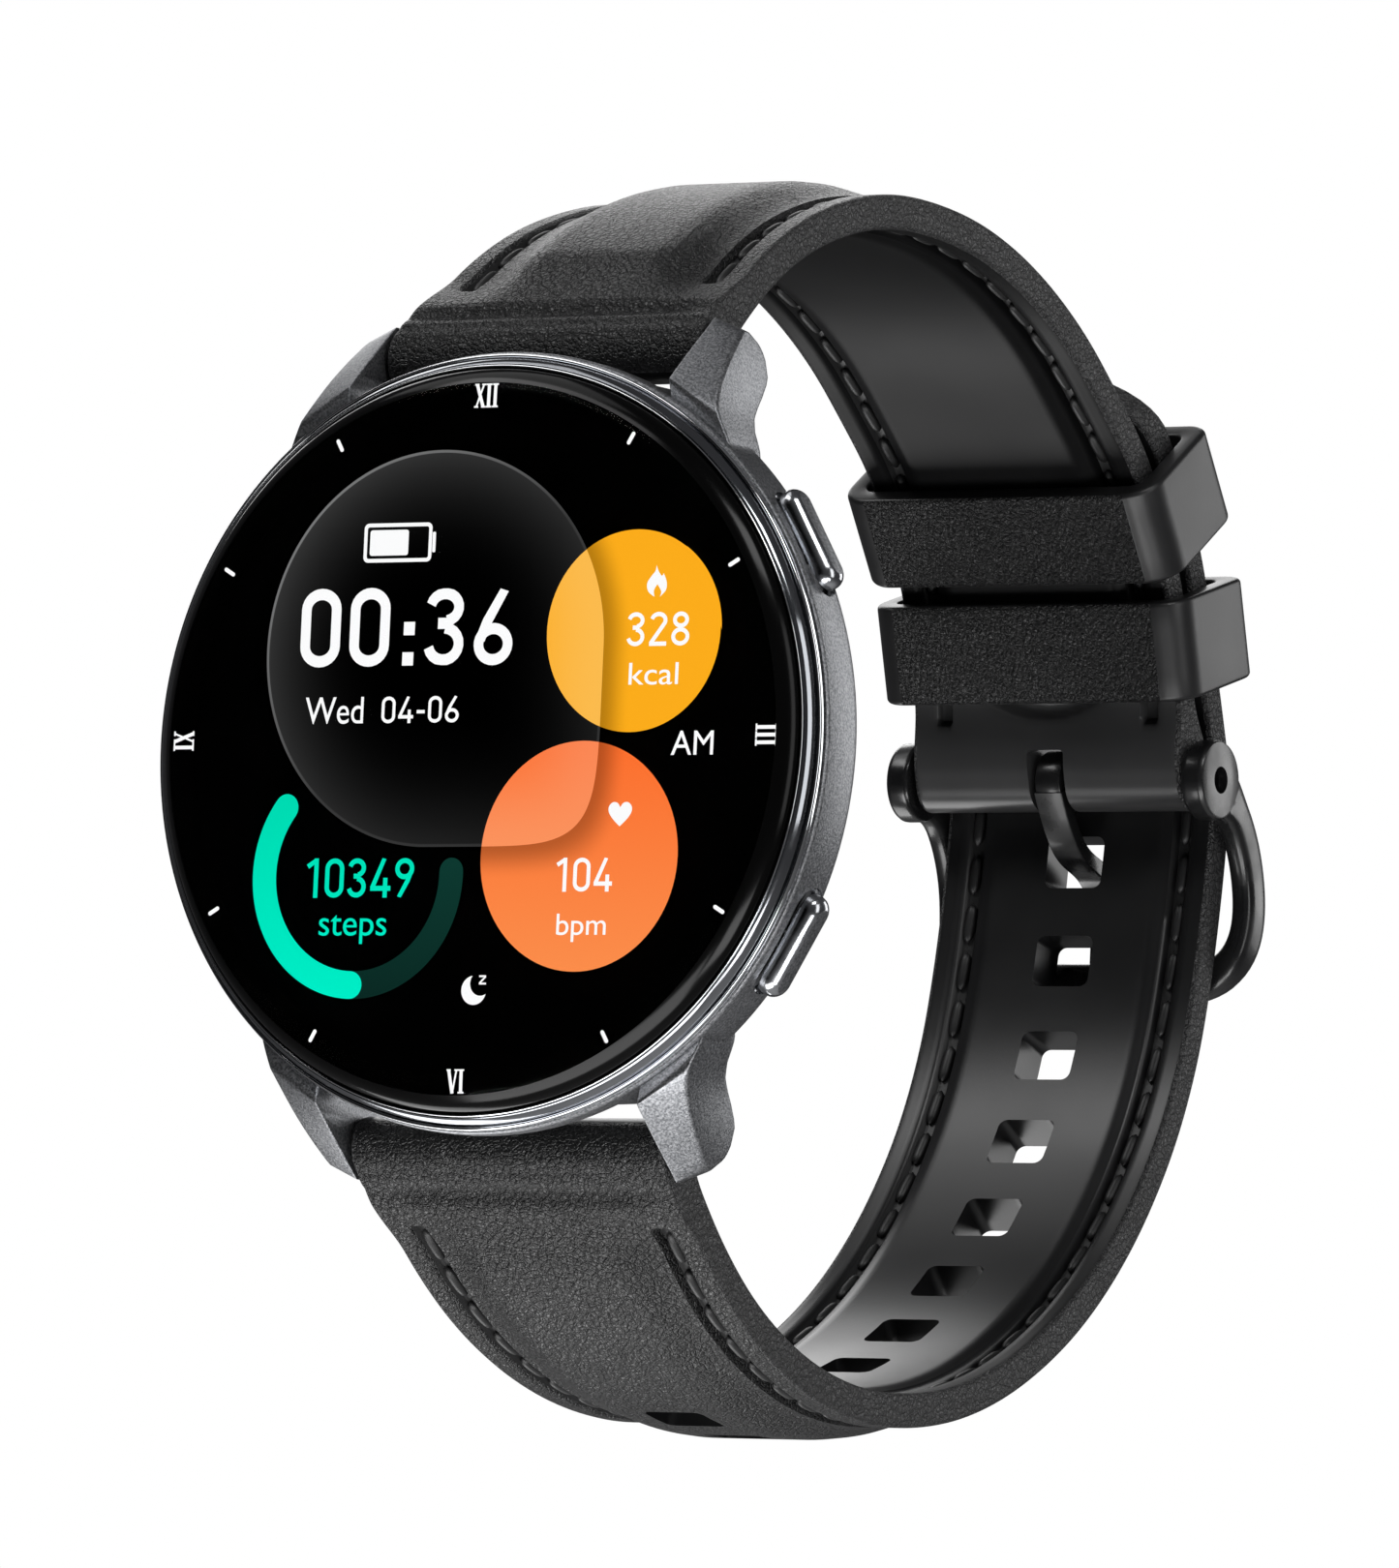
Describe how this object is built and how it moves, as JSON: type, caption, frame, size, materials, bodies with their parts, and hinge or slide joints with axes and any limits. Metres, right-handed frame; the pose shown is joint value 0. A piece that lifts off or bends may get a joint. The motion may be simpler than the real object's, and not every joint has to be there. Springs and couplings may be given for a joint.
{
  "type": "smartwatch",
  "caption": "Round smartwatch with a polished bezel, side push buttons, lugs with spring bars and a padded strap closed by a tang buckle and keepers.",
  "frame": {"origin": "centre of the flat rear face of the sensor window, where the watch touches the wrist", "axes": "+Z towards 12 o'clock, +X towards 3 o'clock, -Y out of the display"},
  "size_m": [0.0458, 0.0767, 0.0753],
  "materials": {
    "case_metal": "fine bead-blasted, anodised gunmetal grey",
    "bezel": "polished dark chrome",
    "cover_glass": "polished, black-printed border",
    "display": "black display panel",
    "seal": "matte black",
    "board": "green solder mask",
    "cell": "foil pouch",
    "steel": "fine turned",
    "rear_cover": "satin black",
    "sensor_window": "dark tinted, polished",
    "contact": "gold plated",
    "strap": "black moulded elastomer, leather-grain outer face, smooth inner face",
    "keeper": "black moulded elastomer, leather-grain wrist face",
    "buckle": "gloss black coated steel"
  },
  "bodies": {
    "case": {"case_midframe": "case_metal", "bezel_ring": "bezel", "cover_glass": "cover_glass", "glass_gasket": "seal", "display_panel": "display", "main_board": "board", "battery": "cell", "vibration_motor": "steel", "rear_cover": "rear_cover", "rear_seal": "seal", "sensor_window": "sensor_window", "sensor_board": "board", "charge_contact_left": "contact", "charge_contact_right": "contact", "upper_button_seal": "seal", "lower_button_seal": "seal", "upper_button_switch": "steel", "lower_button_switch": "steel", "rear_screw_1": "steel", "rear_screw_2": "steel", "rear_screw_3": "steel", "rear_screw_4": "steel"},
    "upper_button": {"upper_button": "case_metal"},
    "lower_button": {"lower_button": "case_metal"},
    "short_strap": {"short_strap": "strap", "short_bar_tube": "steel"},
    "long_strap": {"long_strap": "strap", "long_bar_tube": "steel"},
    "short_bar_pin_left": {"short_bar_pin_left": "steel"},
    "short_bar_pin_right": {"short_bar_pin_right": "steel"},
    "long_bar_pin_left": {"long_bar_pin_left": "steel"},
    "long_bar_pin_right": {"long_bar_pin_right": "steel"},
    "keeper_upper": {"keeper_upper": "keeper"},
    "keeper_lower": {"keeper_lower": "keeper"},
    "buckle_frame": {"buckle_frame": "buckle", "buckle_pin": "steel"},
    "buckle_tang": {"buckle_tang": "buckle"}
  },
  "joints": [
    {"name": "upper_button_press", "type": "slide", "parent": "case", "child": "upper_button", "axis": [-0.8616, 0, -0.5075], "range_m": [0, 0.0004], "stiffness_N_per_m": 1500, "springref_m": -0.0003},
    {"name": "lower_button_press", "type": "slide", "parent": "case", "child": "lower_button", "axis": [-0.8616, 0, 0.5075], "range_m": [0, 0.0004], "stiffness_N_per_m": 1500, "springref_m": -0.0003},
    {"name": "short_strap_hinge", "type": "hinge", "parent": "case", "child": "short_strap", "pos_m": [0, -0.0032, 0.0234], "axis": [1, 0, 0], "range_deg": [-0.15, 0.15]},
    {"name": "long_strap_hinge", "type": "hinge", "parent": "case", "child": "long_strap", "pos_m": [0, -0.0032, -0.0234], "axis": [1, 0, 0], "range_deg": [-0.15, 0.15]},
    {"name": "short_bar_left_end", "type": "slide", "parent": "short_strap", "child": "short_bar_pin_left", "axis": [1, 0, 0], "range_m": [0, 0.001], "stiffness_N_per_m": 300, "springref_m": -0.001},
    {"name": "short_bar_right_end", "type": "slide", "parent": "short_strap", "child": "short_bar_pin_right", "axis": [-1, 0, 0], "range_m": [0, 0.001], "stiffness_N_per_m": 300, "springref_m": -0.001},
    {"name": "long_bar_left_end", "type": "slide", "parent": "long_strap", "child": "long_bar_pin_left", "axis": [1, 0, 0], "range_m": [0, 0.001], "stiffness_N_per_m": 300, "springref_m": -0.001},
    {"name": "long_bar_right_end", "type": "slide", "parent": "long_strap", "child": "long_bar_pin_right", "axis": [-1, 0, 0], "range_m": [0, 0.001], "stiffness_N_per_m": 300, "springref_m": -0.001},
    {"name": "keeper_upper_slide", "type": "hinge", "parent": "short_strap", "child": "keeper_upper", "pos_m": [0, 0.0301, 0.0047], "axis": [1, 0, 0], "range_deg": [-1.2, 3]},
    {"name": "keeper_lower_slide", "type": "hinge", "parent": "short_strap", "child": "keeper_lower", "pos_m": [0, 0.0301, 0.0047], "axis": [1, 0, 0], "range_deg": [-1, 1]},
    {"name": "buckle_frame_hinge", "type": "hinge", "parent": "short_strap", "child": "buckle_frame", "pos_m": [0, 0.0581, 0.00425], "axis": [1, 0, 0], "range_deg": [0, 2]},
    {"name": "tang_hinge", "type": "hinge", "parent": "buckle_frame", "child": "buckle_tang", "pos_m": [0, 0.0581, 0.00425], "axis": [1, 0, 0], "range_deg": [0, 2.5]}
  ]
}
